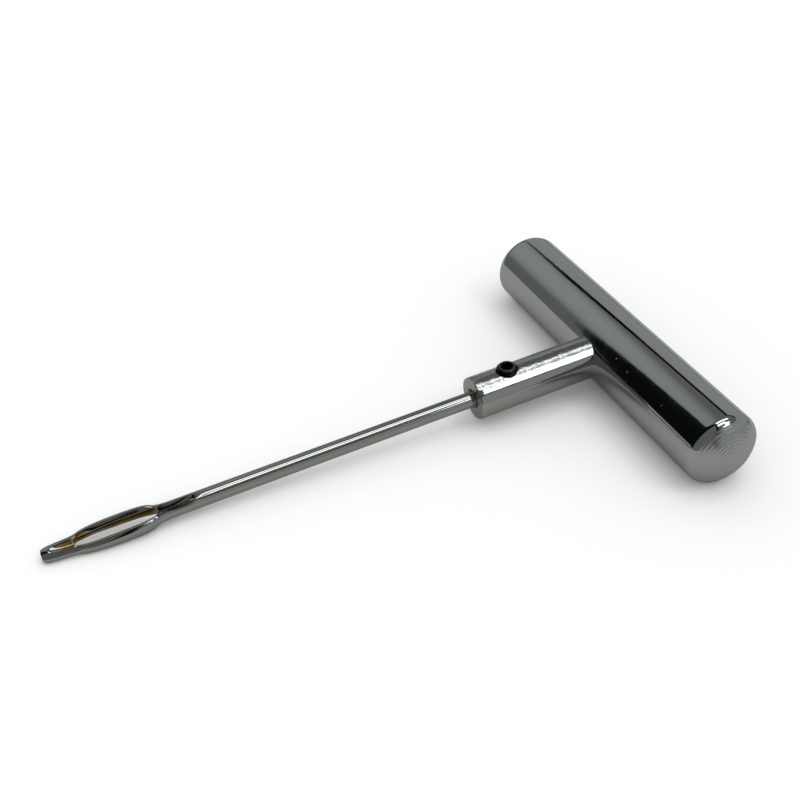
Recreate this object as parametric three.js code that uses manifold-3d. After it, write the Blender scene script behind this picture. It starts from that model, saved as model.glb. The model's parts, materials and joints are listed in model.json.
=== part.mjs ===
// Tyre plug insertion tool: a T handle with a socket neck, and an eye needle held in it by a grub screw.
//
// Tool axes: u runs along the neck from the crossbar's axis towards the needle's tip (-X), the crossbar lies
// along Y, and the grub screw stands on +Z. Once made, the tool is turned about the crossbar until the tip
// touches the floor, as it lies on a bench, and is moved so that the floor is z = 0.
// All sizes are in millimetres.
import * as THREE from "three";
import { mergeVertices } from "three/addons/utils/BufferGeometryUtils.js";
import Module from "manifold-3d";

const wasm = await Module();
wasm.setup();

// ---- Driving dimensions ----
const gap = 0.3; // between two solids that touch on the real tool

const barDiameter = 22.2; // 7/8 inch bar
const barLength = 113;
const barDomeRadius = 15.2; // of the shallow dome on each end
const barEdgeRadius = 3.8; // between the dome and the side

const neckDiameter = 12.7; // 1/2 inch bar
const neckReach = 48; // from the crossbar's axis to the neck's end face
const neckEdge = 0.5; // chamfer round the end face
const neckPastAxis = 3; // how far the neck goes into the crossbar past its axis
const socketDepth = 24;
const socketLead = 0.6; // countersink at the socket's mouth

const screwDiameter = 6; // M6
const screwLength = 5;
const screwFromFace = 11.4; // from the neck's end face to the screw's axis
const screwEdge = 0.65; // chamfer round the screw's top
const hexAcross = 3; // key size
const hexDepth = 2.5;

const needleDiameter = 4.7;
const needleStickOut = 124.8; // from the neck's end face to the tip
const needleEndGap = 0.4; // between the needle's inner end and the bottom of the socket
const eyeFromTip = 9.1; // solid tip beyond the eye
const eyeLength = 21.1;
const eyeWidth = 2.5; // clear width between the two limbs
const eyeOuterWidth = 8.1; // across both limbs
const limbHeight = 3.8; // of each limb, along the eye's axis
const tipWidth = 3.5; // at the blunt end
const tipHeight = 2.6;
const grooveLead = 11; // groove from the eye back along the shank
const grooveTip = 7; // groove from the eye towards the tip
const grooveDepth = 1.1;
const eyeRoll = 15; // degrees that the eye's axis leans from the screw's axis, towards -Y

const roundSides = 64; // facets round the crossbar
const neckSides = 48;
const needleSides = 32;
const screwSides = 36;

// ---- Sizes that follow ----
const barRadius = barDiameter / 2;
const neckRadius = neckDiameter / 2;
const needleRadius = needleDiameter / 2;
const socketRadius = needleRadius + gap;
const screwRadius = screwDiameter / 2;
const screwFoot = needleRadius + gap; // height of the screw's point over the needle's axis
const screwU = neckReach - screwFromFace;
const needleInset = socketDepth - needleEndGap;
const tipU = neckReach + needleStickOut;
const eyeEndU = tipU - eyeFromTip;
const eyeStartU = eyeEndU - eyeLength;
const eyeMiddleU = (eyeStartU + eyeEndU) / 2;
const limbWidth = (eyeOuterWidth - eyeWidth) / 2;

// ---- Shape helpers ----
const solidOf = (geometry) => {
  const bare = geometry.clone();
  bare.deleteAttribute("normal");
  bare.deleteAttribute("uv");
  const merged = mergeVertices(bare, 1e-4);
  return new wasm.Manifold(
    new wasm.Mesh({
      numProp: 3,
      vertProperties: new Float32Array(merged.attributes.position.array),
      triVerts: new Uint32Array(merged.index.array),
    }),
  );
};

const geometryOf = (solid) => {
  const mesh = solid.getMesh();
  const geometry = new THREE.BufferGeometry();
  geometry.setAttribute("position", new THREE.BufferAttribute(mesh.vertProperties, 3));
  geometry.setIndex(new THREE.BufferAttribute(mesh.triVerts, 1));
  geometry.computeVertexNormals();
  return geometry;
};

const meshOf = (name, solid, material) => {
  const mesh = new THREE.Mesh(geometryOf(solid), new THREE.MeshStandardMaterial(material));
  mesh.name = name;
  return mesh;
};

// A turned piece on the tool's axis: profile is a list of [u, radius], starting and ending on the axis.
const turnedAlongNeck = (profile, sides) => {
  const points = profile.map(([u, radius]) => new THREE.Vector2(radius, u));
  return new THREE.LatheGeometry(points, sides).rotateZ(Math.PI / 2);
};

// The same along +Z, for the screw: profile is a list of [z, radius].
const turnedUpwards = (profile, sides) => {
  const points = profile.map(([z, radius]) => new THREE.Vector2(radius, z));
  return new THREE.LatheGeometry(points, sides).rotateX(Math.PI / 2);
};

// ---- Crossbar: turned bar with domed ends and a blind cross hole for the neck ----
// One dome, from the side to the middle of the end, as [distance from the middle of the bar, radius].
const domeProfile = () => {
  const edgeToDome = Math.sqrt((barDomeRadius - barEdgeRadius) ** 2 - (barRadius - barEdgeRadius) ** 2);
  const domeHeight = barDomeRadius - edgeToDome;
  const edgeStart = barLength / 2 - domeHeight;
  const meet = Math.atan2(barRadius - barEdgeRadius, edgeToDome); // from the bar's axis
  const edgeSteps = 6;
  const domeSteps = 6;
  const profile = [];
  for (let i = 0; i <= edgeSteps; i++) {
    const angle = Math.PI / 2 + ((meet - Math.PI / 2) * i) / edgeSteps;
    const radius = barRadius - barEdgeRadius + barEdgeRadius * Math.sin(angle);
    profile.push([edgeStart + barEdgeRadius * Math.cos(angle), radius]);
  }
  for (let i = 1; i <= domeSteps; i++) {
    const angle = meet * (1 - i / domeSteps);
    const along = edgeStart - edgeToDome + barDomeRadius * Math.cos(angle);
    profile.push([along, barDomeRadius * Math.sin(angle)]);
  }
  profile[profile.length - 1][1] = 0;
  return profile;
};

const crossbarSolid = (restAngle) => {
  const dome = domeProfile();
  const farEnd = dome.map(([y, radius]) => new THREE.Vector2(radius, y));
  const nearEnd = dome.map(([y, radius]) => new THREE.Vector2(radius, -y)).reverse();
  const bar = new THREE.LatheGeometry([...nearEnd, ...farEnd], roundSides);
  bar.rotateY(restAngle); // a facet edge faces the floor once the tool lies down
  const holeEnd = -(neckPastAxis + gap);
  const hole = turnedAlongNeck(
    [[holeEnd, 0], [holeEnd, neckRadius + gap], [2 * barRadius, neckRadius + gap], [2 * barRadius, 0]],
    neckSides,
  );
  return solidOf(bar).subtract(solidOf(hole));
};

// ---- Neck: turned sleeve with a blind socket for the needle and a tapped hole for the screw ----
const neckSolid = () => {
  const body = turnedAlongNeck(
    [
      [-neckPastAxis, 0],
      [-neckPastAxis, neckRadius],
      [neckReach - neckEdge, neckRadius],
      [neckReach, neckRadius - neckEdge],
      [neckReach, 0],
    ],
    neckSides,
  );
  const socket = turnedAlongNeck(
    [
      [neckReach - socketDepth, 0],
      [neckReach - socketDepth, socketRadius],
      [neckReach - socketLead, socketRadius],
      [neckReach + socketLead, socketRadius + 2 * socketLead],
      [neckReach + socketLead, 0],
    ],
    neckSides,
  );
  const tapped = turnedUpwards(
    [[0, 0], [0, screwRadius + gap], [2 * neckRadius, screwRadius + gap], [2 * neckRadius, 0]],
    screwSides,
  );
  tapped.translate(-screwU, 0, 0);
  return solidOf(body).subtract(solidOf(socket)).subtract(solidOf(tapped));
};

// ---- Grub screw: M6, cup point, hexagon socket, standing a little proud of the neck ----
const screwSolid = () => {
  const top = screwFoot + screwLength;
  const pointRadius = screwRadius - screwEdge;
  const body = turnedUpwards(
    [
      [screwFoot, 0],
      [screwFoot, pointRadius],
      [screwFoot + screwEdge, screwRadius],
      [top - screwEdge, screwRadius],
      [top, screwRadius - screwEdge],
      [top, 0],
    ],
    screwSides,
  );
  const key = new THREE.CylinderGeometry(hexAcross / Math.sqrt(3), hexAcross / Math.sqrt(3), 2 * hexDepth, 6);
  key.rotateX(Math.PI / 2).translate(0, 0, top);
  return solidOf(body.translate(-screwU, 0, 0)).subtract(solidOf(key.translate(-screwU, 0, 0)));
};

// ---- Needle: round shank, opened into an eye with two limbs, grooved on both faces, blunt tip ----
// Half width and half height of the outline at each u, joined by a smooth curve.
const outlineCurve = (points) => {
  const curve = new THREE.SplineCurve(points.map(([u, half]) => new THREE.Vector2(u, half)));
  const samples = curve.getPoints(240);
  return (u) => {
    const next = samples.findIndex((p) => p.x >= u);
    if (next < 1) return next === 0 ? samples[0].y : samples[samples.length - 1].y;
    const [a, b] = [samples[next - 1], samples[next]];
    return a.y + ((b.y - a.y) * (u - a.x)) / (b.x - a.x);
  };
};

const shapedFromU = eyeStartU - grooveLead;
const halfWidthAt = outlineCurve([
  [shapedFromU - 4, needleRadius],
  [shapedFromU, needleRadius],
  [eyeStartU - 2, needleRadius + 0.16 * (eyeOuterWidth / 2 - needleRadius)],
  [eyeStartU + 3, needleRadius + 0.82 * (eyeOuterWidth / 2 - needleRadius)],
  [eyeMiddleU, eyeOuterWidth / 2],
  [eyeEndU - 4, needleRadius + 0.82 * (eyeOuterWidth / 2 - needleRadius)],
  [eyeEndU + 1.4, needleRadius + 0.25 * (eyeOuterWidth / 2 - needleRadius)],
  [tipU - 1.4, tipWidth / 2 + 0.55],
  [tipU, tipWidth / 2],
]);
const halfHeightAt = outlineCurve([
  [shapedFromU - 4, needleRadius],
  [shapedFromU, needleRadius],
  [eyeStartU + 2, limbHeight / 2 + 0.1],
  [eyeMiddleU, limbHeight / 2],
  [eyeEndU, limbHeight / 2],
  [tipU - 1.4, tipHeight / 2 + 0.3],
  [tipU, tipHeight / 2],
]);

// The needle before it is pierced: a round rod whose section is stretched to the outline.
const needleBlank = () => {
  const innerEndU = neckReach - needleInset;
  const steps = 34;
  const stations = [innerEndU];
  for (let i = 0; i <= steps; i++) stations.push(shapedFromU - 2 + ((tipU - shapedFromU + 2) * i) / steps);
  const rod = new THREE.CylinderGeometry(1, 1, 1, needleSides, stations.length - 1);
  rod.rotateZ(-Math.PI / 2); // from its inner end at +0.5 to its tip at -0.5
  const position = rod.attributes.position;
  for (let i = 0; i < position.count; i++) {
    const fraction = 0.5 - position.getX(i);
    const u = stations[Math.round(fraction * (stations.length - 1))];
    position.setXYZ(i, -u, position.getY(i) * halfWidthAt(u), position.getZ(i) * halfHeightAt(u));
  }
  return solidOf(rod);
};

// The eye's punch: a slot with round ends, wider towards both faces, so that the limbs are rounded inside.
const eyePunch = () => {
  const half = eyeWidth / 2;
  const endU = eyeLength / 2 - half;
  const slot = new THREE.Shape();
  slot.absarc(endU, 0, half, -Math.PI / 2, Math.PI / 2, false);
  slot.absarc(-endU, 0, half, Math.PI / 2, (3 * Math.PI) / 2, false);
  const reach = needleRadius + 1;
  const levels = 12;
  const punch = new THREE.ExtrudeGeometry(slot, {
    depth: 2 * reach,
    steps: levels,
    curveSegments: 6,
    bevelEnabled: false,
  });
  punch.translate(0, 0, -reach);
  const position = punch.attributes.position;
  for (let i = 0; i < position.count; i++) {
    const height = Math.min(Math.abs(position.getZ(i)) / (limbHeight / 2), 0.98);
    const flare = (limbWidth / 2) * (1 - Math.sqrt(1 - height ** 2));
    const x = position.getX(i) * (1 + flare / (eyeLength / 2)) - eyeMiddleU;
    position.setXYZ(i, x, position.getY(i) * (1 + flare / half), position.getZ(i));
  }
  return solidOf(punch);
};

// The grooves: one long spindle on each face, running out on the shank and short of the tip.
const grooveCutter = () => {
  const spindle = turnedAlongNeck(
    [
      [eyeStartU - grooveLead, 0],
      [eyeStartU - 0.75 * grooveLead, 0.7 * grooveDepth],
      [eyeStartU, grooveDepth],
      [eyeMiddleU, eyeWidth / 2],
      [eyeEndU, grooveDepth],
      [eyeEndU + 0.6 * grooveTip, 0.7 * grooveDepth],
      [eyeEndU + grooveTip, 0],
    ],
    12,
  );
  const upper = solidOf(spindle.clone().translate(0, 0, needleRadius - 0.1));
  const lower = solidOf(spindle.clone().translate(0, 0, -(needleRadius - 0.1)));
  return upper.add(lower);
};

const needleSolid = () => {
  const shaped = needleBlank().subtract(eyePunch()).subtract(grooveCutter());
  return shaped.rotate([eyeRoll, 0, 0]);
};

// ---- How the tool lies: turned about the crossbar until its lowest point meets the floor ----
const restAngleOf = (solids) => {
  let smallest = Infinity;
  for (const solid of solids) {
    const { vertProperties, numProp } = solid.getMesh();
    for (let i = 0; i < vertProperties.length; i += numProp) {
      const [u, height] = [-vertProperties[i], vertProperties[i + 2]];
      const far = Math.hypot(u, height);
      if (u < barDiameter || height > 0) continue;
      smallest = Math.min(smallest, Math.asin(barRadius / far) + Math.atan2(height, u));
    }
  }
  return smallest;
};

const needle = needleSolid();
const neck = neckSolid();
const restAngle = restAngleOf([needle, neck]);

const chrome = { color: 0xb9bcbe, roughness: 0.12, metalness: 1 };
const satinChrome = { color: 0xa9abaa, roughness: 0.3, metalness: 1 };
const blackOxide = { color: 0x1b1c1f, roughness: 0.5, metalness: 0.6 };
const brightPlate = { color: 0xc4c6c8, roughness: 0.15, metalness: 1 };

const tool = new THREE.Group();
tool.add(meshOf("crossbar", crossbarSolid(restAngle), chrome));
tool.add(meshOf("neck", neck, satinChrome));
tool.add(meshOf("set_screw", screwSolid(), blackOxide));
tool.add(meshOf("needle", needle, brightPlate));
tool.rotation.y = -restAngle;
tool.updateMatrixWorld(true);
const size = new THREE.Box3().setFromObject(tool, true);
tool.position.set(-(size.min.x + size.max.x) / 2, 0, -size.min.z);

const part = new THREE.Group();
part.add(tool);
export default part;
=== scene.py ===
"""Tyre plug insertion tool: the looks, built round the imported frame.

The tool has its own axes. Its origin is the middle of the crossbar, -X runs out along the neck and
the needle, Y runs along the crossbar and Z stands up through the grub screw. Every piece is
modelled on those axes and then laid down as the frame lies. Lengths are in metres, and MM turns
millimetres into them.
"""
import json
import math

import bmesh
import bpy
from mathutils import Matrix, Vector


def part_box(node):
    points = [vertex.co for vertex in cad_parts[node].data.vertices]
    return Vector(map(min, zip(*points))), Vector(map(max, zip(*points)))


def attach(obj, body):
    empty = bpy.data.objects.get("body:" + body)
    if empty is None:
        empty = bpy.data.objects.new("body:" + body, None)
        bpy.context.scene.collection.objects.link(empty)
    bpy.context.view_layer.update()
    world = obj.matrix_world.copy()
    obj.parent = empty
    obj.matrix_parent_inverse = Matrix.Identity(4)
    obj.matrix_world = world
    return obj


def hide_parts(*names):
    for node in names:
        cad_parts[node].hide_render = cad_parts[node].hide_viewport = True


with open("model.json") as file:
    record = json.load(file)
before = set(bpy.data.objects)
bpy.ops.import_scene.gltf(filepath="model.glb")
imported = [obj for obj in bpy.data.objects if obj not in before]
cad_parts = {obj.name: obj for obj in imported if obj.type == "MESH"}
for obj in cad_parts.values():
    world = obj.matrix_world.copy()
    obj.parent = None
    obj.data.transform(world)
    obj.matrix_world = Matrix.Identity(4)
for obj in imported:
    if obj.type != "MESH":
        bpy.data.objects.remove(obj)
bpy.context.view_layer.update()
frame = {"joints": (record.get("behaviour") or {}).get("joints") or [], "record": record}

MM = 0.001

# ---- Sizes and places, from the frame ----
joint_axis = {joint["name"]: Vector(joint["axis"]) for joint in frame["joints"]}
mount_place = {mount["name"]: Vector(mount["pos_m"]) for mount in frame["record"]["mounts"]}
OUT = joint_axis["needle_draw_out"]  # out along the neck
UP = joint_axis["screw_back_out"]

bar_low, bar_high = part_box("crossbar")
neck_low, neck_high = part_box("neck")
screw_low, screw_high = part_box("set_screw")
BAR_MIDDLE = (bar_low + bar_high) / 2
BAR_RADIUS = (bar_high.z - bar_low.z) / 2
BAR_HALF = (bar_high.y - bar_low.y) / 2
NECK_RADIUS = (neck_high.y - neck_low.y) / 2
SCREW_RADIUS = (screw_high.y - screw_low.y) / 2
NECK_REACH = (mount_place["neck_end_face"] - BAR_MIDDLE).dot(OUT)
TIP_REACH = (mount_place["needle_tip_face"] - BAR_MIDDLE).dot(OUT)
SCREW_REACH = (mount_place["screw_top_face"] - BAR_MIDDLE).dot(OUT)
SCREW_TOP = (mount_place["screw_top_face"] - BAR_MIDDLE).dot(UP)

# from the tool's axes to the frame's
TOOL_TO_FRAME = Matrix((-OUT, (0, 1, 0), UP)).transposed().to_4x4()
TOOL_TO_FRAME.translation = BAR_MIDDLE

# ---- Sizes of the tool's own shapes ----
DOME_RADIUS = 15.2 * MM
DOME_EDGE = 3.8 * MM
NECK_PAST_AXIS = 3 * MM  # how far the neck goes into the crossbar past its axis
NECK_CHAMFER = 0.5 * MM
SOCKET_RADIUS = 2.65 * MM
SOCKET_DEPTH = 24 * MM
SOCKET_LEAD = 0.6 * MM
NEEDLE_RADIUS = 2.35 * MM
NEEDLE_INSET = 23.6 * MM
HOLE_CLEARANCE = 0.06 * MM  # round the grub screw
HOLE_FLARE_DEPTH = 0.45 * MM
SCREW_LENGTH = 5 * MM
SCREW_CHAMFER = 0.65 * MM
THREAD_PITCH = 1 * MM
THREAD_DEPTH = 0.45 * MM
HEX_ACROSS = 3 * MM
HEX_DEPTH = 2.5 * MM
HEX_TURN = math.radians(12)
HEX_LEAD = 0.25 * MM
EYE_TO_TIP = 9.1 * MM
EYE_LENGTH = 21.1 * MM
EYE_OUTER = 8.1 * MM
EYE_WIDTH = 2.5 * MM
LIMB_HEIGHT = 4.0 * MM
LIMB_END_HEIGHT = 3.2 * MM  # the limbs thin towards the tip, so that the eye's end clears the floor
TIP_WIDTH = 3.5 * MM
TIP_HEIGHT = 2.6 * MM
GROOVE_LEAD = 11 * MM
GROOVE_TIP = 7 * MM
GROOVE_DEPTH = 1.1 * MM
EYE_ROLL = math.radians(15)


# ---- Camera, floor and light ----
def camera():
    """A standard lens a little over 20 cm from the tool, looking down at 40 degrees."""
    made = bpy.data.cameras.new("camera")
    made.lens = 44.97
    made.sensor_width = 36
    made.clip_start = 0.01
    seat = bpy.data.objects.new("camera", made)
    seat.location = Vector((-0.07351, -0.19762, 0.19353))
    seat.rotation_euler = [math.radians(angle) for angle in (50.439, 1.753, -24.344)]
    bpy.context.scene.collection.objects.link(seat)
    bpy.context.scene.camera = seat


def add_node(tree, kind, inputs=None, **settings):
    """Adds a node with its settings. An input takes a number or a colour, or a link from a node or
    a socket."""
    node = tree.nodes.new("ShaderNode" + kind)
    for name, value in settings.items():
        setattr(node, name, value)
    for name, value in (inputs or {}).items():
        if isinstance(value, bpy.types.Node):
            value = value.outputs[0]
        if isinstance(value, bpy.types.NodeSocket):
            tree.links.new(value, node.inputs[name])
        else:
            node.inputs[name].default_value = value
    return node


def linear(hex_colour):
    """An sRGB hex colour as linear red, green, blue and alpha."""
    parts = [int(hex_colour[i : i + 2], 16) / 255 for i in (1, 3, 5)]
    return [p / 12.92 if p <= 0.04045 else ((p + 0.055) / 1.055) ** 2.4 for p in parts] + [1.0]


def window(tree, value, low, high, soft):
    """A mask that is 1 where the value lies from low to high, and falls to 0 over the soft
    margin."""
    rise = {"Value": value, "From Min": low - soft, "From Max": low}
    fall = {"Value": value, "From Min": high, "From Max": high + soft, "To Min": 1, "To Max": 0}
    up = add_node(tree, "MapRange", rise, interpolation_type="SMOOTHSTEP")
    down = add_node(tree, "MapRange", fall, interpolation_type="SMOOTHSTEP")
    return add_node(tree, "Math", {0: up, 1: down}, operation="MULTIPLY")


# Each light is a panel in a level ceiling one metre up: its span in X, its span in Y and its
# brightness.
CEILING_LIGHTS = {
    "key_panel": ((0.37, 0.62), (-0.93, -0.33), 4.0),
    "near_tube": ((-0.02, 0.37), (-0.33, -0.14), 3.0),
    "far_tube": ((-0.02, 0.62), (0.07, 0.2), 3.0),
}
ROOM_LEVEL = 0.17
WALL_LEVEL = 0.2
GLOW_LEVEL = 0.22
GLOW_WAY = (-0.164, 0.771, 0.616)  # the lighter corner of the room, beyond the crossbar's far end


def studio():
    """A dim grey room round the table, as polished metal shows it, with soft even light on
    everything matt."""
    world = bpy.data.worlds.new("studio")
    bpy.context.scene.world = world
    world.use_nodes = True
    tree = world.node_tree
    tree.nodes.clear()
    way = add_node(tree, "TexCoord").outputs["Generated"]
    x, y, z = add_node(tree, "SeparateXYZ", {0: way}).outputs
    height = add_node(tree, "Math", {0: z, 1: 0.02}, operation="MAXIMUM")
    depth = add_node(tree, "Math", {0: y, 1: 0.02}, operation="MAXIMUM")
    across = add_node(tree, "Math", {0: x, 1: height}, operation="DIVIDE")
    along = add_node(tree, "Math", {0: y, 1: height}, operation="DIVIDE")
    bearing = add_node(tree, "Math", {0: x, 1: depth}, operation="DIVIDE")

    # the pale wall to the right, and the glow in the far corner
    wall_span = window(tree, bearing, 0.42, 60, 0.1)
    wall_rise = window(tree, z, -2, 0.575, 0.03)
    wall = add_node(tree, "Math", {0: wall_span, 1: wall_rise}, operation="MULTIPLY")
    room = add_node(tree, "Math", {0: wall, 1: WALL_LEVEL, 2: ROOM_LEVEL}, operation="MULTIPLY_ADD")
    nearness = add_node(
        tree, "VectorMath", {0: way, 1: GLOW_WAY}, operation="DOT_PRODUCT"
    ).outputs["Value"]
    glow_span = {"Value": nearness, "From Min": 0.84, "From Max": 0.995}
    glow = add_node(tree, "MapRange", glow_span, interpolation_type="SMOOTHSTEP")
    room = add_node(tree, "Math", {0: glow, 1: GLOW_LEVEL, 2: room}, operation="MULTIPLY_ADD")

    # the dark ledge between wall and ceiling, and the dark curtain beyond the needle's side
    ledge_span = window(tree, bearing, 0.42, 12, 0.14)
    ledge_rise = window(tree, z, 0.605, 0.65, 0.025)
    ledge = add_node(tree, "Math", {0: ledge_span, 1: ledge_rise}, operation="MULTIPLY")
    past_ledge = add_node(tree, "Math", {0: 1, 1: ledge}, operation="SUBTRACT")
    room = add_node(tree, "Math", {0: room, 1: past_ledge}, operation="MULTIPLY")
    slope = add_node(tree, "Math", {0: z, 1: -0.7, 2: bearing}, operation="MULTIPLY_ADD")
    curtain = window(tree, slope, -7, -1.28, 0.09)
    past_curtain = add_node(tree, "Math", {0: curtain, 1: -0.97, 2: 1}, operation="MULTIPLY_ADD")
    level = add_node(tree, "Math", {0: room, 1: past_curtain}, operation="MULTIPLY")
    for x_span, y_span, brightness in CEILING_LIGHTS.values():
        wide = window(tree, across, *x_span, 0.03)
        long = window(tree, along, *y_span, 0.04)
        panel = add_node(tree, "Math", {0: wide, 1: long}, operation="MULTIPLY")
        level = add_node(
            tree, "Math", {0: panel, 1: brightness, 2: level}, operation="MULTIPLY_ADD"
        )

    # matt surfaces are lit by the same lights through a diffuser, so their shadows stay soft and
    # pale
    rays = add_node(tree, "LightPath").outputs
    spread = add_node(tree, "Math", {0: level, 1: 0.9, 2: 0.86}, operation="MULTIPLY_ADD")
    seen_in_metal = add_node(tree, "Background", {"Color": linear("#F1F5F6"), "Strength": level})
    on_matt = add_node(tree, "Background", {"Color": linear("#FFFFFF"), "Strength": spread})
    behind = add_node(tree, "Background", {"Color": linear("#FEFEFE"), "Strength": 1.0})
    light = add_node(tree, "MixShader", {0: rays["Is Diffuse Ray"], 1: seen_in_metal, 2: on_matt})
    light = add_node(tree, "MixShader", {0: rays["Is Camera Ray"], 1: light, 2: behind})
    add_node(tree, "OutputWorld", {"Surface": light})


def floor():
    """A plain pale tabletop. Polished metal sees a painted grey in its place, a painted reflection
    that darkens away from the tool."""
    bpy.ops.mesh.primitive_plane_add(size=6, location=(0, 0, 0))
    top = bpy.context.object
    top.name = "tabletop"
    paint = bpy.data.materials.new("matt_white_laminate")
    paint.use_nodes = True
    tree = paint.node_tree
    tree.nodes.clear()
    place = add_node(tree, "TexCoord").outputs["Object"]
    distance = add_node(tree, "VectorMath", {0: place}, operation="LENGTH").outputs["Value"]
    # painted reflection: the grey that metal sees of the tabletop, darker away from the tool
    far = add_node(tree, "MapRange", {"Value": distance, "From Min": 0.22, "From Max": 0.6})
    painted_reflection_grey = add_node(
        tree, "MixRGB", {"Fac": far, "Color1": linear("#A6A6A3"), "Color2": linear("#565655")}
    )
    pale = add_node(tree, "BsdfDiffuse", {"Color": linear("#F7F7F6")})
    painted_reflection_shader = add_node(tree, "BsdfDiffuse", {"Color": painted_reflection_grey})
    in_metal = add_node(tree, "LightPath").outputs["Is Glossy Ray"]
    shown = add_node(tree, "MixShader", {0: in_metal, 1: pale, 2: painted_reflection_shader})
    add_node(tree, "OutputMaterial", {"Surface": shown})
    top.data.materials.append(paint)


# ---- Modelling helpers ----
SELECT_MODE = {"verts": "VERT", "edges": "EDGE", "faces": "FACE"}


def select_only(piece):
    bpy.ops.object.select_all(action="DESELECT")
    piece.select_set(True)
    bpy.context.view_layer.objects.active = piece


def select_where(piece, kind, wanted):
    """In edit mode, selects the verts, edges or faces that pass the test, and nothing else."""
    bpy.ops.mesh.select_all(action="DESELECT")
    bpy.ops.mesh.select_mode(type=SELECT_MODE[kind])
    mesh = bmesh.from_edit_mesh(piece.data)
    for item in getattr(mesh, kind):
        item.select = wanted(item)
    mesh.select_flush_mode()
    bmesh.update_edit_mesh(piece.data)


def start_outline(name, places):
    """Draws a line from place to place, as an extruded vertex, and stays in edit mode."""
    bpy.ops.object.select_all(action="DESELECT")
    bpy.ops.mesh.primitive_plane_add(size=MM, location=(0, 0, 0))
    piece = bpy.context.object
    piece.name = name
    piece.data.name = name
    bpy.ops.object.mode_set(mode="EDIT")
    bpy.ops.mesh.select_mode(type="VERT")
    bpy.ops.mesh.select_all(action="SELECT")
    bpy.ops.mesh.merge(type="CENTER")
    bpy.ops.transform.translate(value=places[0])
    for last, place in zip(places, places[1:]):
        bpy.ops.mesh.extrude_region_move(TRANSFORM_OT_translate={"value": place - last})
    bpy.ops.mesh.select_all(action="SELECT")
    return piece


def turned(name, outline, centre, axis, sides):
    """A turned piece: the outline is a list of (distance along the axis, radius), spun round the
    axis."""
    axis = Vector(axis)
    centre = Vector(centre)
    places = [centre + axis * along + axis.yzx * radius for along, radius in outline]
    piece = start_outline(name, places)
    bpy.ops.mesh.spin(steps=sides, angle=2 * math.pi, center=centre, axis=axis)
    bpy.ops.mesh.select_all(action="SELECT")
    bpy.ops.mesh.remove_doubles(threshold=0.001 * MM)
    bpy.ops.mesh.normals_make_consistent(inside=False)
    bpy.ops.object.mode_set(mode="OBJECT")
    return piece


def arc(middle, radius, start, end, steps):
    """Points on an arc as (along, radius), where an angle of 0 points along the axis."""
    angles = [start + (end - start) * i / steps for i in range(steps + 1)]
    return [(middle[0] + radius * math.cos(a), middle[1] + radius * math.sin(a)) for a in angles]


def combine(piece, tool, operation):
    """Cuts the tool out of the piece, or keeps only what they share, and takes the tool away."""
    select_only(piece)
    modifier = piece.modifiers.new(operation.lower(), "BOOLEAN")
    modifier.operation = operation
    modifier.solver = "EXACT"
    modifier.object = tool
    bpy.ops.object.modifier_apply(modifier=modifier.name)
    bpy.data.objects.remove(tool)
    bpy.ops.object.mode_set(mode="EDIT")
    bpy.ops.mesh.select_mode(type="VERT")
    bpy.ops.mesh.select_all(action="SELECT")
    bpy.ops.mesh.remove_doubles(threshold=0.001 * MM)
    bpy.ops.object.mode_set(mode="OBJECT")


def finish_piece(piece, smooth_below, body, node, material):
    """Smooths the piece, lays it down as the frame lies, and gives it to its body in its CAD node's
    place."""
    piece.data.materials.clear()
    piece.data.materials.append(material)
    piece.matrix_world = TOOL_TO_FRAME
    select_only(piece)
    bpy.ops.object.transform_apply(location=True, rotation=True, scale=True)
    bpy.ops.object.shade_smooth_by_angle(angle=math.radians(smooth_below))
    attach(piece, body)
    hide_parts(node)


# ---- Crossbar ----
def crossbar():
    """A turned bar, with a shallow dome and a rounded edge on each end."""
    edge_radius = BAR_RADIUS - DOME_EDGE
    edge_to_dome = math.sqrt((DOME_RADIUS - DOME_EDGE) ** 2 - edge_radius**2)
    edge_start = BAR_HALF - (DOME_RADIUS - edge_to_dome)
    meet = math.atan2(edge_radius, edge_to_dome)
    dome = arc((edge_start - edge_to_dome, 0), DOME_RADIUS, 0, meet, 24)
    edge = arc((edge_start, edge_radius), DOME_EDGE, meet, math.pi / 2, 14)
    far_half = dome + edge[1:]
    near_half = [(-along, radius) for along, radius in reversed(far_half)]
    return turned("crossbar_plated", far_half + near_half, (0, 0, 0), (0, 1, 0), 160)


# ---- Neck ----
def neck():
    """A turned sleeve set into the crossbar, with a countersunk socket in its end and a tapped hole
    on top."""
    rings = 40
    body_end = NECK_REACH - NECK_CHAMFER
    body_length = body_end + NECK_PAST_AXIS
    body = [(body_length * i / rings - NECK_PAST_AXIS, NECK_RADIUS) for i in range(rings + 1)]
    mouth = [
        (NECK_REACH - 0.12 * MM, NECK_RADIUS - 0.12 * MM),
        (NECK_REACH, NECK_RADIUS - NECK_CHAMFER),
        (NECK_REACH, SOCKET_RADIUS + SOCKET_LEAD),
        (NECK_REACH - SOCKET_LEAD, SOCKET_RADIUS),
        (NECK_REACH - SOCKET_DEPTH, SOCKET_RADIUS),
        (NECK_REACH - SOCKET_DEPTH - SOCKET_RADIUS / 2, 0),
    ]
    piece = turned("neck_plated", [(-NECK_PAST_AXIS, 0)] + body + mouth, (0, 0, 0), (-1, 0, 0), 128)
    hole_radius = SCREW_RADIUS + HOLE_CLEARANCE
    flare = NECK_RADIUS - HOLE_FLARE_DEPTH
    outline = [(0, 0), (0, hole_radius), (flare, hole_radius)]
    outline += [
        (flare + MM, hole_radius + MM), (2 * NECK_RADIUS, hole_radius + MM), (2 * NECK_RADIUS, 0)
    ]
    hole = turned("tapped_hole", outline, (-SCREW_REACH, 0, 0), (0, 0, 1), 96)
    combine(piece, hole, "DIFFERENCE")
    return piece


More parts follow.
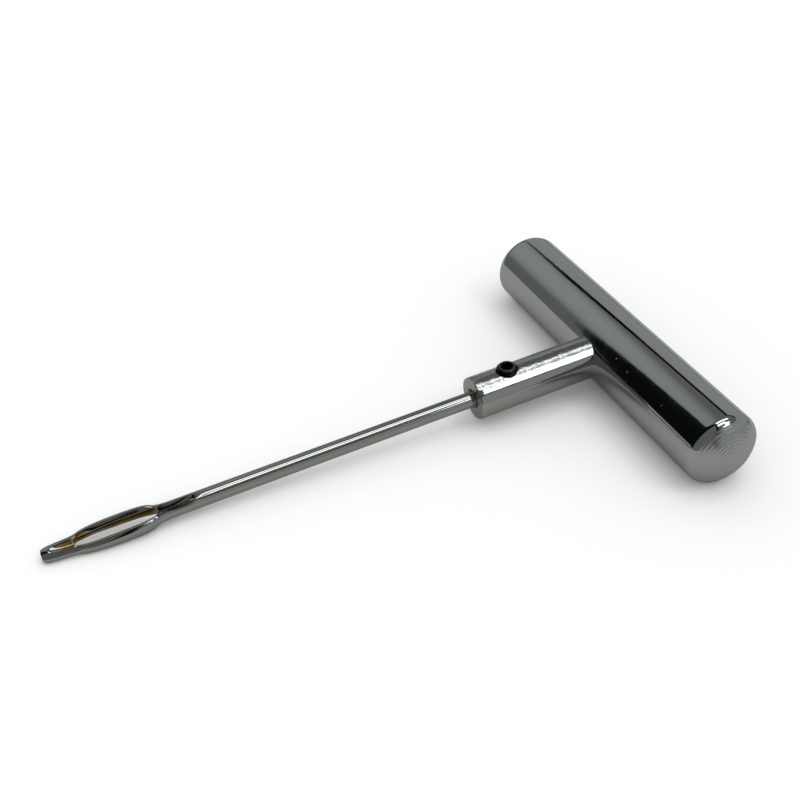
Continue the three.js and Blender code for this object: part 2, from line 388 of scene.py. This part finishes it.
# ---- Grub screw ----
def grub_screw():
    """An M6 grub screw: a threaded rod, cut to length with a chamfer on each end, and a hexagon
    socket."""
    foot = SCREW_TOP - SCREW_LENGTH
    point_radius = SCREW_RADIUS - SCREW_CHAMFER
    centre = (-SCREW_REACH, 0, 0)
    up = (0, 0, 1)
    screw = threaded_rod("grub_screw_black", foot - MM, SCREW_TOP + MM)
    blank_outline = [(foot, 0), (foot, point_radius), (foot + SCREW_CHAMFER, SCREW_RADIUS)]
    blank_outline += [
        (SCREW_TOP - SCREW_CHAMFER, SCREW_RADIUS), (SCREW_TOP, point_radius), (SCREW_TOP, 0)
    ]
    combine(screw, turned("blank", blank_outline, centre, up, 96), "INTERSECT")
    bpy.ops.object.select_all(action="DESELECT")
    bpy.ops.mesh.primitive_cylinder_add(
        vertices=6,
        radius=HEX_ACROSS / math.sqrt(3),
        depth=2 * HEX_DEPTH,
        location=(-SCREW_REACH, 0, SCREW_TOP),
        rotation=(0, 0, HEX_TURN),
    )
    combine(screw, bpy.context.object, "DIFFERENCE")
    lead_radius = HEX_ACROSS / 2 + HEX_LEAD
    lead_outline = [
        (SCREW_TOP - 2 * HEX_LEAD, 0), (SCREW_TOP - 2 * HEX_LEAD, lead_radius - 2 * HEX_LEAD)
    ]
    lead_outline += [(SCREW_TOP + HEX_LEAD, lead_radius + HEX_LEAD), (SCREW_TOP + HEX_LEAD, 0)]
    combine(screw, turned("key_lead", lead_outline, centre, up, 48), "DIFFERENCE")
    return screw


def threaded_rod(name, low, high):
    """One pitch of the thread's outline, wound up past both ends, then cut off and closed at low
    and high."""
    root = SCREW_RADIUS - THREAD_DEPTH
    crest = SCREW_RADIUS + 0.1 * MM  # cut back to the screw's radius later
    outline = [(root, 0), (root, 0.12), (crest, 0.46), (crest, 0.54), (root, 0.88), (root, 1)]
    base = low - 1.6 * THREAD_PITCH
    rod = start_outline(
        name, [Vector((radius, 0, base + rise * THREAD_PITCH)) for radius, rise in outline]
    )
    bpy.ops.object.mode_set(mode="OBJECT")
    winding = rod.modifiers.new("winding", "SCREW")
    winding.screw_offset = THREAD_PITCH
    winding.iterations = math.ceil((high - base) / THREAD_PITCH) + 1
    winding.steps = 64
    winding.render_steps = 64
    bpy.ops.object.modifier_apply(modifier=winding.name)
    bpy.ops.object.mode_set(mode="EDIT")
    bpy.ops.mesh.select_all(action="SELECT")
    bpy.ops.mesh.remove_doubles(threshold=0.001 * MM)
    for height, above in ((low, False), (high, True)):
        bpy.ops.mesh.select_all(action="SELECT")
        bpy.ops.mesh.bisect(
            plane_co=(0, 0, height),
            plane_no=(0, 0, 1),
            use_fill=True,
            clear_inner=not above,
            clear_outer=above,
            threshold=0.001 * MM,
        )
    bpy.ops.mesh.select_all(action="SELECT")
    bpy.ops.mesh.normals_make_consistent(inside=False)
    bpy.ops.transform.translate(value=(-SCREW_REACH, 0, 0))
    bpy.ops.object.mode_set(mode="OBJECT")
    return rod


# ---- Needle ----
EYE_END = TIP_REACH - EYE_TO_TIP
EYE_START = EYE_END - EYE_LENGTH
EYE_MIDDLE = (EYE_START + EYE_END) / 2
SHAPED_FROM = EYE_START - GROOVE_LEAD
NEEDLE_INNER_END = NECK_REACH - NEEDLE_INSET
WIDENING = EYE_OUTER / 2 - NEEDLE_RADIUS

# Curves along the needle: (distance from the crossbar's axis, value).
HALF_WIDTH = [
    (SHAPED_FROM, NEEDLE_RADIUS),
    (EYE_START - 1.5 * MM, NEEDLE_RADIUS + 0.14 * WIDENING),
    (EYE_START + 2.6 * MM, NEEDLE_RADIUS + 0.84 * WIDENING),
    (EYE_START + 7 * MM, EYE_OUTER / 2),
    (EYE_END - 7 * MM, EYE_OUTER / 2),
    (EYE_END - 3.2 * MM, NEEDLE_RADIUS + 0.82 * WIDENING),
    (EYE_END + 1 * MM, NEEDLE_RADIUS + 0.26 * WIDENING),
    (TIP_REACH - 1.4 * MM, TIP_WIDTH / 2 + 0.55 * MM),
    (TIP_REACH, TIP_WIDTH / 2),
]
HALF_HEIGHT = [
    (SHAPED_FROM, NEEDLE_RADIUS),
    (EYE_START + 2 * MM, LIMB_HEIGHT / 2 + 0.1 * MM),
    (EYE_MIDDLE - 2 * MM, LIMB_HEIGHT / 2),
    (EYE_END - 4 * MM, LIMB_END_HEIGHT / 2),
    (EYE_END, LIMB_END_HEIGHT / 2),
    (TIP_REACH - 1.4 * MM, TIP_HEIGHT / 2 + 0.26 * MM),
    (TIP_REACH, TIP_HEIGHT / 2),
]
HALF_GAP = [
    (EYE_START, 0.55 * EYE_WIDTH / 2),
    (EYE_START + 3 * MM, EYE_WIDTH / 2),
    (EYE_END - 3 * MM, EYE_WIDTH / 2),
    (EYE_END, 0.55 * EYE_WIDTH / 2),
]
GROOVE = [
    (SHAPED_FROM, 0),
    (SHAPED_FROM + 2.5 * MM, 0.75 * GROOVE_DEPTH),
    (EYE_START - 2 * MM, GROOVE_DEPTH),
    (EYE_END + 1 * MM, GROOVE_DEPTH),
    (EYE_END + 0.6 * GROOVE_TIP, 0.7 * GROOVE_DEPTH),
    (EYE_END + GROOVE_TIP, 0),
]

SIDES = 16  # of the needle's cage
QUARTER = SIDES // 4
LIMB_SIDES = 2 * QUARTER
ROUND_CAGE = 3 / (2 + math.cos(2 * math.pi / SIDES))  # smoothing shrinks a round cage by this much
LIMB_CAGE = 3 / (2 + math.cos(2 * math.pi / LIMB_SIDES))


def along_curve(points, at):
    """A smooth curve through (distance, value) points, read at one distance."""
    if at <= points[0][0]:
        return points[0][1]
    if at >= points[-1][0]:
        return points[-1][1]
    i = max(k for k, point in enumerate(points) if point[0] <= at)
    (x0, y0), (x1, y1) = points[i], points[i + 1]
    before = points[max(i - 1, 0)]
    after = points[min(i + 2, len(points) - 1)]
    span = x1 - x0
    start_slope = span * (y1 - before[1]) / (x1 - before[0])
    end_slope = span * (after[1] - y0) / (after[0] - x0)
    t = (at - x0) / span
    held = (2 * t**3 - 3 * t**2 + 1) * y0 + (3 * t**2 - 2 * t**3) * y1
    return held + (t**3 - 2 * t**2 + t) * start_slope + (t**3 - t**2) * end_slope


def needle():
    """A drawn rod, coined and pierced into an eye of two rounded limbs, grooved before and after
    it."""
    lead = [NEEDLE_INNER_END + step * MM for step in (0, 0.1, 0.6)]
    lead += [SHAPED_FROM - 30 * MM, SHAPED_FROM - MM]
    lead += [
        SHAPED_FROM + GROOVE_LEAD * share for share in (0.04, 0.14, 0.28, 0.46, 0.64, 0.8, 0.92)
    ]
    eye = [
        EYE_START + EYE_LENGTH * share for share in (0, 0.05, 0.14, 0.28, 0.5, 0.72, 0.86, 0.95, 1)
    ]
    tip = [
        EYE_END + EYE_TO_TIP * share for share in (0.1, 0.25, 0.42, 0.58, 0.7, 0.8, 0.9, 0.96, 1)
    ]
    stations = lead + eye + tip
    first_hole = len(lead)
    last_hole = len(lead) + len(eye) - 1

    rod = rod_cage(stations)
    lines = {vertex.index: cage_line(vertex.co) for vertex in rod.data.vertices}
    rings = {vertex.index: nearest_ring(stations, -vertex.co.x) for vertex in rod.data.vertices}
    in_eye = range(first_hole, last_hole + 1)
    bpy.ops.object.mode_set(mode="EDIT")
    pierce(rod, lines, rings, in_eye)
    bpy.ops.object.mode_set(mode="OBJECT")
    inside = 0.5 * NEEDLE_RADIUS
    walls = {v.index for v in rod.data.vertices if abs(v.co.z) < 0.1 * MM and abs(v.co.y) < inside}
    lines = {vertex.index: cage_line(vertex.co) for vertex in rod.data.vertices}
    rings = {vertex.index: nearest_ring(stations, -vertex.co.x) for vertex in rod.data.vertices}
    bpy.ops.object.mode_set(mode="EDIT")
    for ring, station in enumerate(stations):
        shape_ring(rod, ring, station, lines, rings, walls, first_hole, last_hole)
    round_hole_ends(rod, lines, rings, walls, first_hole, last_hole)
    crease_lips(rod, lines, rings, in_eye, stations)
    blunt_tip(rod, rings, len(stations) - 1)
    bpy.ops.mesh.select_all(action="SELECT")
    bpy.ops.mesh.normals_make_consistent(inside=False)
    bpy.ops.transform.rotate(value=-EYE_ROLL, orient_axis="X", center_override=(0, 0, 0))
    bpy.ops.object.mode_set(mode="OBJECT")
    rounding = rod.modifiers.new("rounding", "SUBSURF")
    rounding.levels = 3
    rounding.render_levels = 3
    bpy.ops.object.modifier_apply(modifier=rounding.name)
    return rod


def rod_cage(stations):
    """A round rod along -X, extruded from station to station."""
    bpy.ops.object.select_all(action="DESELECT")
    bpy.ops.mesh.primitive_circle_add(
        vertices=SIDES,
        radius=NEEDLE_RADIUS,
        fill_type="NGON",
        location=(-stations[0], 0, 0),
        rotation=(0, math.radians(-90), 0),
    )
    rod = bpy.context.object
    rod.name = "needle_plated"
    rod.data.name = "needle_plated"
    bpy.ops.object.transform_apply(location=True, rotation=True, scale=True)
    bpy.ops.object.mode_set(mode="EDIT")
    bpy.ops.mesh.select_all(action="SELECT")
    for last, station in zip(stations, stations[1:]):
        bpy.ops.mesh.extrude_region_move(TRANSFORM_OT_translate={"value": (last - station, 0, 0)})
    bpy.ops.object.mode_set(mode="OBJECT")
    return rod


def cage_line(place):
    """The cage line of a vertex, counted up from the needle's side: 0 is the side, QUARTER the top
    or bottom."""
    turn = math.atan2(abs(place.z), abs(place.y))
    return round(turn / (math.pi / 2) * QUARTER)


def nearest_ring(stations, distance):
    return min(range(len(stations)), key=lambda ring: abs(stations[ring] - distance))


def pierce(rod, lines, rings, in_eye):
    """Takes out the faces beside the top and bottom lines in the eye, and joins the two rims with
    walls."""

    def in_hole(face):
        corners = [vertex.index for vertex in face.verts]
        beside_line = len(corners) == 4 and min(lines[corner] for corner in corners) >= QUARTER - 1
        return beside_line and all(rings[corner] in in_eye for corner in corners)

    select_where(rod, "faces", in_hole)
    bpy.ops.mesh.delete(type="FACE")
    select_where(rod, "edges", lambda edge: len(edge.link_faces) == 0)
    bpy.ops.mesh.delete(type="EDGE")
    select_where(rod, "edges", lambda edge: len(edge.link_faces) == 1)
    bpy.ops.mesh.bridge_edge_loops(number_cuts=1, interpolation="LINEAR")


def shape_ring(rod, ring, station, lines, rings, walls, first_hole, last_hole):
    """Scales one ring of the cage, line by line, to the needle's section at its station."""
    width = along_curve(HALF_WIDTH, station)
    height = along_curve(HALF_HEIGHT, station)
    groove_floor = height - along_curve(GROOVE, station)
    inside_hole = first_hole < ring < last_hole
    gap = along_curve(HALF_GAP, station)
    limb = (width - gap) / 2
    for line in range(QUARTER + 1):
        turn = math.pi / 2 * line / QUARTER
        from_y = NEEDLE_RADIUS * math.cos(turn)
        from_z = NEEDLE_RADIUS * math.sin(turn)
        if inside_hole:
            to_y = gap + limb + limb * LIMB_CAGE * math.cos(2 * turn)
            to_z = height * LIMB_CAGE * math.sin(2 * turn)
        else:
            to_y = width * ROUND_CAGE * math.cos(turn)
            to_z = height * ROUND_CAGE * math.sin(turn)
        if line == QUARTER and SHAPED_FROM < station < EYE_END + GROOVE_TIP:
            lip = height * math.sin(turn * (QUARTER - 1) / QUARTER)
            to_z = 1.5 * groove_floor - 0.5 * lip
        factor_y = 1 if line == QUARTER else to_y / from_y
        factor_z = 1 if line == 0 else to_z / from_z
        select_where(
            rod, "verts",
            lambda v: rings[v.index] == ring and lines[v.index] == line and v.index not in walls
        )
        bpy.ops.transform.resize(value=(1, factor_y, factor_z), center_override=(-station, 0, 0))
    wall_from = NEEDLE_RADIUS * math.cos(math.pi / 2 * (QUARTER - 1) / QUARTER)
    wall_to = gap + limb * (1 - LIMB_CAGE) if inside_hole else wall_from * width / NEEDLE_RADIUS
    select_where(rod, "verts", lambda v: rings[v.index] == ring and v.index in walls)
    bpy.ops.transform.resize(value=(1, wall_to / wall_from, 1), center_override=(-station, 0, 0))


def round_hole_ends(rod, lines, rings, walls, first_hole, last_hole):
    """Pushes the middle of each end wall of the eye outwards along the needle."""
    for ring, push in ((first_hole, 0.9 * MM), (last_hole, -0.9 * MM)):
        select_where(
            rod,
            "verts",
            lambda v: rings[v.index] == ring
            and abs(v.co.y) < 0.1 * MM
            and (v.index in walls or lines[v.index] == QUARTER),
        )
        bpy.ops.transform.translate(value=(push, 0, 0))


def crease_lips(rod, lines, rings, in_eye, stations):
    """Holds the groove's two lips sharp, outside the eye."""

    def on_lip(edge):
        first, second = (vertex.index for vertex in edge.verts)
        along = (
            lines.get(first) == lines.get(second) == QUARTER - 1 and rings[first] != rings[second]
        )
        ends = [stations[rings[end]] for end in (first, second)]
        in_groove = all(SHAPED_FROM - MM <= end <= EYE_END + GROOVE_TIP for end in ends)
        return along and in_groove and not (rings[first] in in_eye and rings[second] in in_eye)

    select_where(rod, "edges", on_lip)
    bpy.ops.transform.edge_crease(value=0.8)


def blunt_tip(rod, rings, last_ring):
    """Insets the end face, so that the tip stays flat with a rounded edge."""
    select_where(
        rod, "faces", lambda face: len(face.verts) > 4 and rings[face.verts[0].index] == last_ring
    )
    bpy.ops.mesh.inset(thickness=0.35 * MM)


# ---- Materials ----
CHROME = "#C3C6C7"
SATIN_CHROME = "#BDBEBB"
OXIDE = "#222428"
NICKEL = "#B4B5B0"  # darker than fresh nickel plate


def start_metal(name, hex_colour, roughness):
    """A bare metal, its node tree, its shader and its place on the tool's own axes in metres."""
    material = bpy.data.materials.new(name)
    material.use_nodes = True
    tree = material.node_tree
    shader = tree.nodes["Principled BSDF"]
    shader.inputs["Base Color"].default_value = linear(hex_colour)
    shader.inputs["Metallic"].default_value = 1
    shader.inputs["Roughness"].default_value = roughness
    in_frame = add_node(tree, "TexCoord").outputs["Object"]
    place = add_node(
        tree,
        "Mapping",
        {"Vector": in_frame, "Location": BAR_MIDDLE, "Rotation": TOOL_TO_FRAME.to_euler()},
        vector_type="TEXTURE",
    )
    return material, tree, shader, place


def per(size):
    """The scale of a pattern whose features are this many metres across."""
    return 1 / size


def bright_chrome():
    """Bright chrome over a turned bar.

    The side is a mirror with a faint waver, a few plating pits and specks of dust. The domes were
    faced on a lathe and only lightly polished, so they are duller, and their rings catch the light
    in broken arcs.
    """
    material, tree, shader, place = start_metal("bright_chrome_on_turned_steel", CHROME, 0.05)
    along_bar = add_node(tree, "SeparateXYZ", {0: place}).outputs["Y"]
    from_middle = add_node(tree, "Math", {0: along_bar}, operation="ABSOLUTE")

    # the domes' duller zone, with a ragged edge
    ragged = add_node(tree, "TexNoise", {"Vector": place, "Scale": per(1.4 * MM), "Detail": 3})
    edge = add_node(
        tree, "Math", {0: ragged, 1: 1.6 * MM, 2: from_middle}, operation="MULTIPLY_ADD"
    )
    on_dome = add_node(
        tree, "MapRange",
        {"Value": edge, "From Min": BAR_HALF - 3.3 * MM, "From Max": BAR_HALF - 2.9 * MM}
    )

    # turning rings 0.9 mm apart, coarser than real ones so that they show, broken up by patches
    rings = add_node(
        tree,
        "TexWave",
        {
            "Vector": place,
            "Scale": math.pi / 10 / (0.9 * MM),
            "Distortion": 1.5,
            "Detail": 2,
            "Detail Scale": 0.4,
        },
        wave_type="RINGS",
        rings_direction="Y",
    ).outputs["Fac"]
    patches = add_node(tree, "TexNoise", {"Vector": place, "Scale": per(4 * MM), "Detail": 1})
    patches = add_node(tree, "MapRange", {"Value": patches, "From Min": 0.38, "From Max": 0.58})
    broken = add_node(tree, "Math", {0: rings, 1: patches}, operation="MULTIPLY")
    dome_height = add_node(tree, "Math", {0: broken, 1: on_dome}, operation="MULTIPLY")

    # pits 0.5 mm across, on one cell of 7 mm in four
    cells = add_node(tree, "TexVoronoi", {"Vector": place, "Scale": per(7 * MM)})
    chosen = add_node(tree, "SeparateColor", {0: cells.outputs["Color"]}).outputs["Red"]
    chosen = add_node(tree, "Math", {0: chosen, 1: 0.75}, operation="GREATER_THAN")
    pit = add_node(
        tree,
        "MapRange",
        {
            "Value": cells.outputs["Distance"],
            "From Min": 0.02,
            "From Max": 0.055,
            "To Min": 1,
            "To Max": 0,
        },
    )
    pits = add_node(tree, "Math", {0: pit, 1: chosen}, operation="MULTIPLY")

    # dust: matt specks 0.3 mm across, on one cell of 2.4 mm in three
    grid = add_node(tree, "TexVoronoi", {"Vector": place, "Scale": per(2.4 * MM)})
    dusty = add_node(tree, "SeparateColor", {0: grid.outputs["Color"]}).outputs["Green"]
    dusty = add_node(tree, "Math", {0: dusty, 1: 0.67}, operation="GREATER_THAN")
    speck = add_node(
        tree,
        "MapRange",
        {
            "Value": grid.outputs["Distance"],
            "From Min": 0.04,
            "From Max": 0.075,
            "To Min": 0.75,
            "To Max": 0,
        },
    )
    dust = add_node(tree, "Math", {0: speck, 1: dusty}, operation="MULTIPLY")
    bare = add_node(tree, "Math", {0: 1, 1: dust}, operation="SUBTRACT")
    tree.links.new(bare.outputs[0], shader.inputs["Metallic"])

    waver = add_node(tree, "TexNoise", {"Vector": place, "Scale": per(5 * MM), "Detail": 1})
    relief = add_node(tree, "Bump", {"Height": waver, "Distance": 0.012 * MM, "Strength": 1})
    relief = add_node(
        tree, "Bump",
        {"Height": dome_height, "Distance": 0.07 * MM, "Strength": 1, "Normal": relief}
    )
    relief = add_node(
        tree, "Bump", {"Height": pits, "Distance": 0.08 * MM, "Strength": 1, "Normal": relief},
        invert=True
    )
    tree.links.new(relief.outputs[0], shader.inputs["Normal"])

    haze = add_node(
        tree, "TexNoise", {"Vector": place, "Scale": per(9 * MM), "Detail": 4, "Roughness": 0.7}
    )
    side_roughness = add_node(
        tree, "MapRange",
        {"Value": haze, "From Min": 0.35, "From Max": 0.7, "To Min": 0.035, "To Max": 0.1}
    )
    roughness = add_node(
        tree, "Math", {0: on_dome, 1: 0.2, 2: side_roughness}, operation="MULTIPLY_ADD"
    )
    tree.links.new(roughness.outputs[0], shader.inputs["Roughness"])
    tint = add_node(
        tree, "MixRGB", {"Fac": pits, "Color1": linear(CHROME), "Color2": linear("#6E6A66")}
    )
    tint = add_node(tree, "MixRGB", {"Fac": dust, "Color1": tint, "Color2": linear("#E8E6E0")})
    tree.links.new(tint.outputs[0], shader.inputs["Base Color"])
    return material


def satin_chrome():
    """Satin chrome over a turned bar: thin plate on an unpolished surface, so highlights have a
    grain."""
    material, tree, shader, place = start_metal("satin_chrome_on_turned_steel", SATIN_CHROME, 0.12)
    x, y, z = add_node(tree, "SeparateXYZ", {0: place}).outputs
    # the top was never polished: its grain is 0.8 mm across and much deeper than on the sides
    top_span = {"From Min": 0.78 * NECK_RADIUS, "From Max": 0.88 * NECK_RADIUS}
    on_top = add_node(tree, "MapRange", {"Value": z, **top_span, "To Min": 0.12, "To Max": 1})
    coarse = {"Scale": per(0.8 * MM), "Detail": 3, "Roughness": 0.55}
    grain = add_node(tree, "TexNoise", {"Vector": place, **coarse})
    grain = add_node(tree, "Math", {0: grain, 1: on_top}, operation="MULTIPLY")
    dents = add_node(tree, "TexNoise", {"Vector": place, "Scale": per(2.2 * MM), "Detail": 1})
    relief = add_node(tree, "Bump", {"Height": grain, "Distance": 0.09 * MM, "Strength": 1})
    relief = add_node(
        tree, "Bump", {"Height": dents, "Distance": 0.01 * MM, "Strength": 1, "Normal": relief}
    )

    # the end face was faced off, which leaves fine rings round the socket
    on_face = add_node(tree, "Math", {0: x, 1: -NECK_REACH + 0.06 * MM}, operation="LESS_THAN")
    rings = add_node(
        tree,
        "TexWave",
        {"Vector": place, "Scale": math.pi / 10 / (0.5 * MM), "Distortion": 0.8},
        wave_type="RINGS",
        rings_direction="X",
    ).outputs["Fac"]
    facing = add_node(tree, "Math", {0: rings, 1: on_face}, operation="MULTIPLY")
    relief = add_node(
        tree, "Bump", {"Height": facing, "Distance": 0.02 * MM, "Strength": 1, "Normal": relief}
    )
    tree.links.new(relief.outputs[0], shader.inputs["Normal"])

    patchy = add_node(tree, "TexNoise", {"Vector": place, "Scale": per(3 * MM), "Detail": 3})
    roughness = add_node(
        tree, "MapRange",
        {"Value": patchy, "From Min": 0.3, "From Max": 0.7, "To Min": 0.07, "To Max": 0.13}
    )
    roughness = add_node(
        tree, "Math", {0: on_face, 1: 0.15, 2: roughness}, operation="MULTIPLY_ADD"
    )
    tree.links.new(roughness.outputs[0], shader.inputs["Roughness"])

    # bare dark steel down the socket, where plating doesn't reach
    spread = add_node(tree, "CombineXYZ", {"Y": y, "Z": z})
    from_axis = add_node(tree, "VectorMath", {0: spread}, operation="LENGTH").outputs["Value"]
    socket_span = {"From Min": SOCKET_RADIUS + 0.05 * MM, "From Max": SOCKET_RADIUS + 0.5 * MM}
    down_socket = add_node(
        tree, "MapRange", {"Value": from_axis, **socket_span, "To Min": 1, "To Max": 0}
    )
    tint = add_node(
        tree, "MixRGB",
        {"Fac": down_socket, "Color1": linear(SATIN_CHROME), "Color2": linear("#3A3835")}
    )
    tree.links.new(tint.outputs[0], shader.inputs["Base Color"])
    return material


def black_oxide():
    """Black oxide over alloy steel: a thin oiled black skin, rubbed to grey on the rim that a key
    touches."""
    material, tree, shader, place = start_metal("black_oxide_on_alloy_steel", OXIDE, 0.36)
    centred = add_node(tree, "VectorMath", {0: place, 1: (SCREW_REACH, 0, 0)}, operation="ADD")
    x, y, z = add_node(tree, "SeparateXYZ", {0: centred}).outputs
    spread = add_node(tree, "CombineXYZ", {"X": x, "Y": y})
    from_axis = add_node(tree, "VectorMath", {0: spread}, operation="LENGTH").outputs["Value"]
    grit = add_node(
        tree, "TexNoise", {"Vector": place, "Scale": per(0.4 * MM), "Detail": 4, "Roughness": 0.7}
    )
    rim = window(tree, from_axis, SCREW_RADIUS - 1 * MM, SCREW_RADIUS - 0.55 * MM, 0.25 * MM)
    near_top = add_node(
        tree, "MapRange",
        {"Value": z, "From Min": SCREW_TOP - 0.5 * MM, "From Max": SCREW_TOP - 0.1 * MM}
    )
    rubbed = add_node(tree, "Math", {0: rim, 1: near_top}, operation="MULTIPLY")
    rubbed = add_node(tree, "Math", {0: rubbed, 1: grit}, operation="MULTIPLY")
    tint = add_node(
        tree, "MixRGB", {"Fac": rubbed, "Color1": linear(OXIDE), "Color2": linear("#85888C")}
    )
    tree.links.new(tint.outputs[0], shader.inputs["Base Color"])
    roughness = add_node(
        tree, "MapRange",
        {"Value": grit, "From Min": 0.3, "From Max": 0.7, "To Min": 0.28, "To Max": 0.46}
    )
    tree.links.new(roughness.outputs[0], shader.inputs["Roughness"])
    relief = add_node(tree, "Bump", {"Height": grit, "Distance": 0.012 * MM, "Strength": 1})
    tree.links.new(relief.outputs[0], shader.inputs["Normal"])
    return material


def bright_nickel():
    """Bright nickel over drawn and coined rod: fine lines run along it, and a painted gold
    reflection lies in the eye."""
    material, tree, shader, place = start_metal("bright_nickel_on_drawn_steel", NICKEL, 0.07)
    # drawn lines 0.25 mm across and forty times as long
    stretched = add_node(tree, "VectorMath", {0: place, 1: (0.025, 1, 1)}, operation="MULTIPLY")
    drawn = add_node(tree, "TexNoise", {"Vector": stretched, "Scale": per(0.25 * MM), "Detail": 2})
    dents = add_node(tree, "TexNoise", {"Vector": place, "Scale": per(1.8 * MM), "Detail": 2})
    relief = add_node(tree, "Bump", {"Height": drawn, "Distance": 0.0015 * MM, "Strength": 1})
    relief = add_node(
        tree, "Bump", {"Height": dents, "Distance": 0.008 * MM, "Strength": 1, "Normal": relief}
    )
    tree.links.new(relief.outputs[0], shader.inputs["Normal"])
    patchy = add_node(tree, "TexNoise", {"Vector": place, "Scale": per(4 * MM), "Detail": 3})
    roughness = add_node(
        tree, "MapRange",
        {"Value": patchy, "From Min": 0.3, "From Max": 0.7, "To Min": 0.05, "To Max": 0.12}
    )
    tree.links.new(roughness.outputs[0], shader.inputs["Roughness"])

    # painted reflection: a gold tint on the walls inside the eye and in the groove beyond it,
    # broken into patches, stands in for a gold reflection
    turned_back = add_node(
        tree, "VectorRotate", {"Vector": place, "Axis": (1, 0, 0), "Angle": -EYE_ROLL},
        rotation_type="AXIS_ANGLE"
    )
    x, y = add_node(tree, "SeparateXYZ", {0: turned_back}).outputs[:2]
    off_middle = add_node(tree, "Math", {0: y}, operation="ABSOLUTE")
    wall_span = {"From Min": EYE_WIDTH / 2 + 0.15 * MM, "From Max": EYE_WIDTH / 2 + 0.75 * MM}
    near_middle = add_node(
        tree, "MapRange", {"Value": off_middle, **wall_span, "To Min": 1, "To Max": 0}
    )
    along_eye = window(tree, x, -EYE_END - 4 * MM, -EYE_START, MM)
    painted_gold_reflection = add_node(tree, "Math", {0: near_middle, 1: along_eye}, operation="MULTIPLY")
    painted_reflection_patches = add_node(
        tree, "MapRange", {"Value": patchy, "From Min": 0.35, "From Max": 0.55, "To Max": 0.9}
    )
    painted_gold_reflection = add_node(tree, "Math", {0: painted_gold_reflection, 1: painted_reflection_patches}, operation="MULTIPLY")
    # mixes the painted gold reflection into the nickel's colour
    tint = add_node(
        tree, "MixRGB", {"Fac": painted_gold_reflection, "Color1": linear(NICKEL), "Color2": linear("#A5823F")}
    )
    tree.links.new(tint.outputs[0], shader.inputs["Base Color"])
    return material


# ---- The scene ----
camera()
studio()
floor()
bpy.context.scene.view_settings.view_transform = "Standard"

finish_piece(crossbar(), 60, "handle", "crossbar", bright_chrome())
finish_piece(neck(), 30, "handle", "neck", satin_chrome())
finish_piece(grub_screw(), 25, "screw", "set_screw", black_oxide())
finish_piece(needle(), 60, "needle_rod", "needle", bright_nickel())
